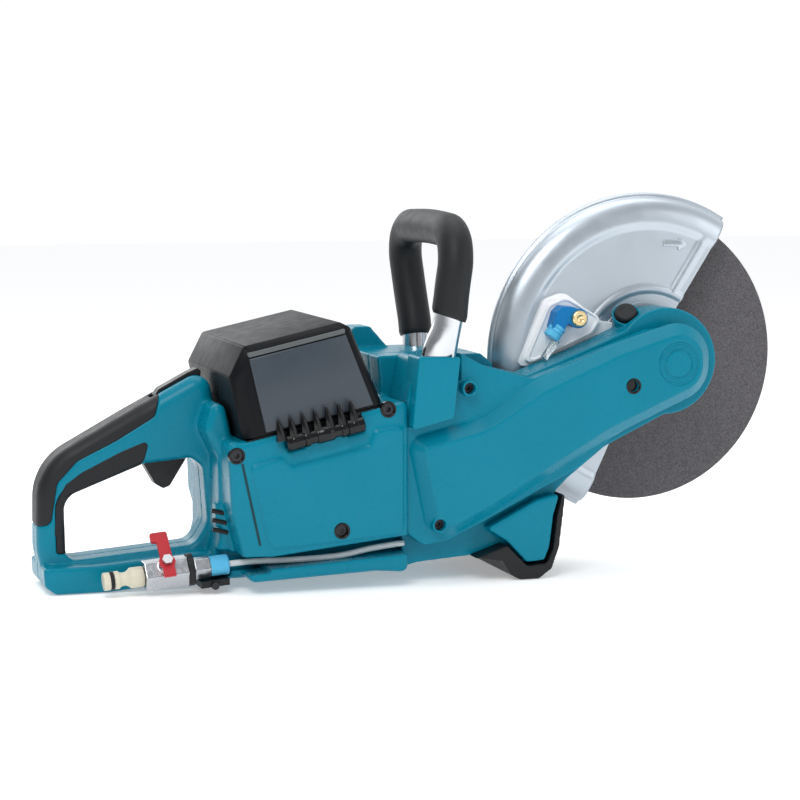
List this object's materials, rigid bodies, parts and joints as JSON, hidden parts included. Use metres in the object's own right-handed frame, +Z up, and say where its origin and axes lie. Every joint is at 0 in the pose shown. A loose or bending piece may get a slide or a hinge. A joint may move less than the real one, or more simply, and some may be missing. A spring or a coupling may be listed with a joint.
{
  "type": "battery cut-off saw",
  "caption": "Handheld battery cut-off saw with an abrasive wheel, tilting guard, belt arm, lidded battery bay, loop handle and water feed.",
  "frame": {"origin": "on the ground, midway along and across the saw", "axes": "+X forward to the wheel, +Z up, -Y on the belt cover's side"},
  "size_m": [0.5939, 0.1777, 0.2875],
  "materials": {
    "teal_shell": "glossy teal moulding",
    "teal_metal": "teal painted casting",
    "grip_rubber": "soft, matte",
    "black_plastic": "satin black",
    "pack_plastic": "satin black",
    "guard_metal": "silver, satin",
    "bright_metal": "polished",
    "steel": "machined",
    "screw_steel": "blackened",
    "abrasive": "coarse, dark grey",
    "nickel": "nickel plate",
    "cream_plastic": "cream",
    "red_paint": "red",
    "blue_plastic": "blue",
    "brass": "bright",
    "clear_tube": "clear"
  },
  "bodies": {
    "saw": {"arm_cover": "teal_shell", "arm_frame": "teal_metal", "battery_bay": "black_plastic", "battery_pack_1": "pack_plastic", "battery_pack_2": "pack_plastic", "controller": "bright_metal", "cover_screws": "screw_steel", "drive_belt": "grip_rubber", "front_foot": "black_plastic", "grip_inner": "grip_rubber", "grip_outer": "grip_rubber", "handle_bolts": "screw_steel", "handle_grip": "grip_rubber", "handle_pins": "steel", "handle_tube": "bright_metal", "hinge_pin": "steel", "hose_adapter": "nickel", "hose_nipple": "cream_plastic", "housing_left": "teal_shell", "housing_right": "teal_shell", "housing_screws": "screw_steel", "motor_bearings": "steel", "motor_stator": "steel", "nipple_oring": "grip_rubber", "shaft_bearings": "steel", "spindle_bearings": "steel", "switch_unit": "black_plastic", "terminal_blocks": "black_plastic", "tube_collar": "blue_plastic", "valve_body": "nickel", "valve_strap": "grip_rubber", "water_bracket": "black_plastic", "water_tube": "clear_tube"},
    "wheel": {"spindle": "steel", "driven_pulley": "steel", "pulley_nut": "steel", "inner_flange": "steel", "outer_flange": "steel", "wheel_bolt": "steel", "cutting_wheel": "abrasive"},
    "countershaft": {"countershaft": "steel", "driven_gear": "steel", "drive_pulley": "steel"},
    "rotor": {"rotor": "steel", "pinion": "steel", "fan": "black_plastic"},
    "guard": {"guard_near": "guard_metal", "guard_far": "guard_metal", "fitting_plate": "bright_metal", "fitting_screw": "brass", "water_elbow": "blue_plastic", "guard_tube": "clear_tube"},
    "trigger": {"trigger": "black_plastic"},
    "lock_off": {"lock_off_lever": "black_plastic"},
    "lid": {"battery_lid": "black_plastic"},
    "latch": {"lid_latch": "black_plastic"},
    "shaft_lock": {"shaft_lock_button": "black_plastic"},
    "valve": {"valve_ball": "nickel", "valve_lever": "red_paint", "lever_nut": "steel"}
  },
  "joints": [
    {"name": "wheel_spin", "type": "hinge", "parent": "saw", "child": "wheel", "pos_m": [0.182, 0, 0.161], "axis": [0, 1, 0], "continuous": true},
    {"name": "countershaft_spin", "type": "hinge", "parent": "saw", "child": "countershaft", "pos_m": [0.014, -0.05, 0.084], "axis": [0, 1, 0], "continuous": true},
    {"name": "rotor_spin", "type": "hinge", "parent": "saw", "child": "rotor", "pos_m": [0.0026, 0, 0.11532], "axis": [0, 1, 0], "continuous": true},
    {"name": "guard_tilt", "type": "hinge", "parent": "saw", "child": "guard", "pos_m": [0.182, -0.02, 0.161], "axis": [0, 1, 0], "range_deg": [0, 50]},
    {"name": "trigger_pull", "type": "hinge", "parent": "saw", "child": "trigger", "pos_m": [-0.185, 0, 0.101], "axis": [0, 1, 0], "range_deg": [0, 14], "stiffness_Nm_per_rad": 0.4, "springref_deg": -17.19},
    {"name": "lock_off_press", "type": "hinge", "parent": "saw", "child": "lock_off", "pos_m": [-0.176, 0, 0.15], "axis": [0, -1, 0], "range_deg": [0, 6], "stiffness_Nm_per_rad": 0.3, "springref_deg": -17.19},
    {"name": "lid_open", "type": "hinge", "parent": "saw", "child": "lid", "pos_m": [-0.09507, -0.0805, 0.11782], "axis": [0.9763, 0, 0.2164], "range_deg": [0, 100]},
    {"name": "latch_swing", "type": "hinge", "parent": "lid", "child": "latch", "pos_m": [-0.1007, 0.081, 0.13399], "axis": [0.9763, 0, 0.2164], "range_deg": [0, 50], "stiffness_Nm_per_rad": 0.05, "springref_deg": -17.19},
    {"name": "shaft_lock_press", "type": "slide", "parent": "saw", "child": "shaft_lock", "axis": [0.2997, 0.6594, -0.6894], "range_m": [0, 0.0035], "stiffness_N_per_m": 400, "springref_m": -0.004},
    {"name": "valve_turn", "type": "hinge", "parent": "saw", "child": "valve", "pos_m": [-0.2092, -0.051, 0.01575], "axis": [-0.0594, -0.766, 0.64], "range_deg": [0, 90]}
  ],
  "couplings": [
    {"joint": "countershaft_spin", "follows": "wheel_spin", "ratio": 1},
    {"joint": "rotor_spin", "follows": "wheel_spin", "ratio": -3.0769}
  ]
}
